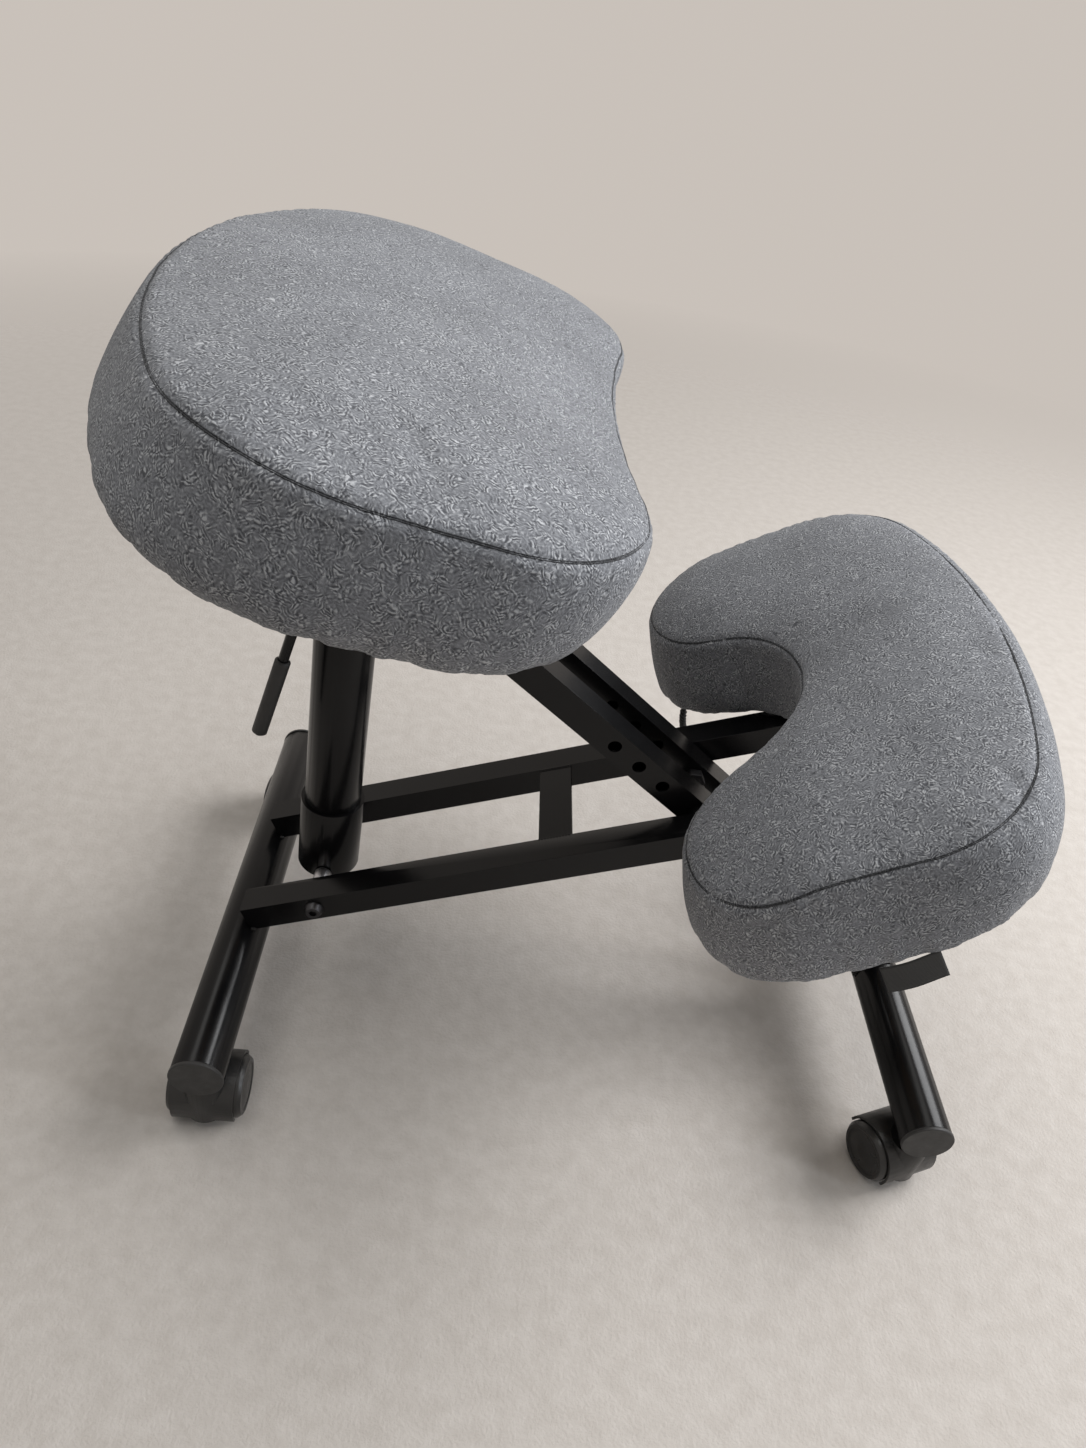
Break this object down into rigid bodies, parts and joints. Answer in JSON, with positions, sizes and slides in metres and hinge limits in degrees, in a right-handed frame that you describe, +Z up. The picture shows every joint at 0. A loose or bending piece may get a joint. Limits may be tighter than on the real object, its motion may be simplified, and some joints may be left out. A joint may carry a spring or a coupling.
{
  "type": "kneeling chair",
  "caption": "Kneeling chair with a tilted padded seat, a horseshoe knee cushion, a scissor steel frame, a gas height column and twin-wheel casters.",
  "frame": {"origin": "on the floor, midway between the front and rear crossbars and on the chair's plane of symmetry", "axes": "+X forward, from the seat towards the knee rest; +Y to the sitter's left; +Z up"},
  "size_m": [0.6976, 0.51, 0.6401],
  "materials": {
    "black_steel": "satin black powder coat",
    "black_plastic": "matte moulded",
    "caster_plastic": "smooth satin moulded",
    "wheel_nylon": "smooth satin nylon",
    "plywood": "raw birch plywood",
    "cover_fabric": "heathered grey woven polyester cover",
    "dark_hardware": "black oxide",
    "zinc_steel": "zinc plated",
    "cylinder_steel": "polished",
    "cord": "braided"
  },
  "bodies": {
    "base": {"rear_crossbar": "black_steel", "rear_cap_left": "black_plastic", "rear_cap_right": "black_plastic", "lower_rail_left": "black_steel", "lower_rail_right": "black_steel", "brace_plate": "black_steel", "knee_plate_left": "black_steel", "knee_plate_right": "black_steel", "knee_board": "plywood", "knee_cushion": "cover_fabric", "knee_screws": "dark_hardware", "pivot_bolts": "dark_hardware", "pivot_nuts": "dark_hardware", "pivot_spacers": "zinc_steel", "base_bolt": "dark_hardware", "base_nut": "dark_hardware", "base_spacers": "zinc_steel", "caster_stem_rear_left": "zinc_steel", "caster_stem_rear_right": "zinc_steel", "drawstring_tail": "cord"},
    "seat_frame": {"front_crossbar": "black_steel", "front_cap_left": "black_plastic", "front_cap_right": "black_plastic", "diagonal_bar_left": "black_steel", "diagonal_bar_right": "black_steel", "seat_cheek_left": "black_steel", "seat_cheek_right": "black_steel", "seat_plate": "black_steel", "seat_board": "plywood", "seat_cushion": "cover_fabric", "seat_screws": "dark_hardware", "caster_stem_front_left": "zinc_steel", "caster_stem_front_right": "zinc_steel"},
    "gas_tube": {"column_cup": "black_steel", "column_tube": "black_steel", "guide_bush": "black_plastic", "piston_rod": "cylinder_steel"},
    "gas_cylinder": {"inner_cylinder": "cylinder_steel", "head_block": "black_steel", "trunnion_bolts": "dark_hardware", "trunnion_sleeves": "zinc_steel"},
    "release_lever": {"lever_rod": "black_steel", "lever_grip": "black_plastic"},
    "release_pin": {"release_pin": "zinc_steel"},
    "caster_rear_left": {"caster_hood_rear_left": "caster_plastic", "caster_axle_rear_left": "zinc_steel"},
    "wheel_rear_left_a": {"caster_wheel_rear_left_a": "wheel_nylon"},
    "wheel_rear_left_b": {"caster_wheel_rear_left_b": "wheel_nylon"},
    "caster_rear_right": {"caster_hood_rear_right": "caster_plastic", "caster_axle_rear_right": "zinc_steel"},
    "wheel_rear_right_a": {"caster_wheel_rear_right_a": "wheel_nylon"},
    "wheel_rear_right_b": {"caster_wheel_rear_right_b": "wheel_nylon"},
    "caster_front_left": {"caster_hood_front_left": "caster_plastic", "caster_axle_front_left": "zinc_steel"},
    "wheel_front_left_a": {"caster_wheel_front_left_a": "wheel_nylon"},
    "wheel_front_left_b": {"caster_wheel_front_left_b": "wheel_nylon"},
    "caster_front_right": {"caster_hood_front_right": "caster_plastic", "caster_axle_front_right": "zinc_steel"},
    "wheel_front_right_a": {"caster_wheel_front_right_a": "wheel_nylon"},
    "wheel_front_right_b": {"caster_wheel_front_right_b": "wheel_nylon"}
  },
  "joints": [
    {"name": "height_pivot", "type": "hinge", "parent": "base", "child": "seat_frame", "pos_m": [0.082, 0, 0.25479], "axis": [0, 1, 0], "range_deg": [0, 16]},
    {"name": "column_tilt", "type": "hinge", "parent": "base", "child": "gas_tube", "pos_m": [-0.23, 0, 0.13], "axis": [0, 1, 0], "range_deg": [0, 9.01]},
    {"name": "column_slide", "type": "slide", "parent": "gas_tube", "child": "gas_cylinder", "axis": [0.0506, 0, 0.9987], "range_m": [0, 0.0825]},
    {"name": "lever_pull", "type": "hinge", "parent": "gas_cylinder", "child": "release_lever", "pos_m": [-0.22252, 0, 0.48522], "axis": [0, 1, 0], "range_deg": [0, 14], "stiffness_Nm_per_rad": 0.5, "springref_deg": -5.73},
    {"name": "pin_press", "type": "slide", "parent": "gas_cylinder", "child": "release_pin", "axis": [-0.0506, 0, -0.9987], "range_m": [0, 0.0034]},
    {"name": "swivel_rear_left", "type": "hinge", "parent": "base", "child": "caster_rear_left", "pos_m": [-0.295, 0.188, 0.05], "axis": [0, 0, 1], "continuous": true},
    {"name": "roll_rear_left_a", "type": "hinge", "parent": "caster_rear_left", "child": "wheel_rear_left_a", "pos_m": [-0.29708, 0.17618, 0.025], "axis": [0.9848, -0.1736, 0], "continuous": true},
    {"name": "roll_rear_left_b", "type": "hinge", "parent": "caster_rear_left", "child": "wheel_rear_left_b", "pos_m": [-0.29708, 0.17618, 0.025], "axis": [0.9848, -0.1736, 0], "continuous": true},
    {"name": "swivel_rear_right", "type": "hinge", "parent": "base", "child": "caster_rear_right", "pos_m": [-0.295, -0.188, 0.05], "axis": [0, 0, 1], "continuous": true},
    {"name": "roll_rear_right_a", "type": "hinge", "parent": "caster_rear_right", "child": "wheel_rear_right_a", "pos_m": [-0.295, -0.176, 0.025], "axis": [-1, 0, 0], "continuous": true},
    {"name": "roll_rear_right_b", "type": "hinge", "parent": "caster_rear_right", "child": "wheel_rear_right_b", "pos_m": [-0.295, -0.176, 0.025], "axis": [-1, 0, 0], "continuous": true},
    {"name": "swivel_front_left", "type": "hinge", "parent": "seat_frame", "child": "caster_front_left", "pos_m": [0.295, 0.188, 0.05], "axis": [0, 0, 1], "continuous": true},
    {"name": "roll_front_left_a", "type": "hinge", "parent": "caster_front_left", "child": "wheel_front_left_a", "pos_m": [0.301, 0.17761, 0.025], "axis": [0.866, 0.5, 0], "continuous": true},
    {"name": "roll_front_left_b", "type": "hinge", "parent": "caster_front_left", "child": "wheel_front_left_b", "pos_m": [0.301, 0.17761, 0.025], "axis": [0.866, 0.5, 0], "continuous": true},
    {"name": "swivel_front_right", "type": "hinge", "parent": "seat_frame", "child": "caster_front_right", "pos_m": [0.295, -0.188, 0.05], "axis": [0, 0, 1], "continuous": true},
    {"name": "roll_front_right_a", "type": "hinge", "parent": "caster_front_right", "child": "wheel_front_right_a", "pos_m": [0.2907, -0.1768, 0.025], "axis": [-0.9336, -0.3584, 0], "continuous": true},
    {"name": "roll_front_right_b", "type": "hinge", "parent": "caster_front_right", "child": "wheel_front_right_b", "pos_m": [0.2907, -0.1768, 0.025], "axis": [-0.9336, -0.3584, 0], "continuous": true}
  ],
  "couplings": [
    {"joint": "column_tilt", "follows": "height_pivot", "ratio": 0.5627},
    {"joint": "column_slide", "follows": "height_pivot", "m_per_rad": 0.29518},
    {"joint": "pin_press", "follows": "lever_pull", "m_per_rad": 0.0135}
  ]
}
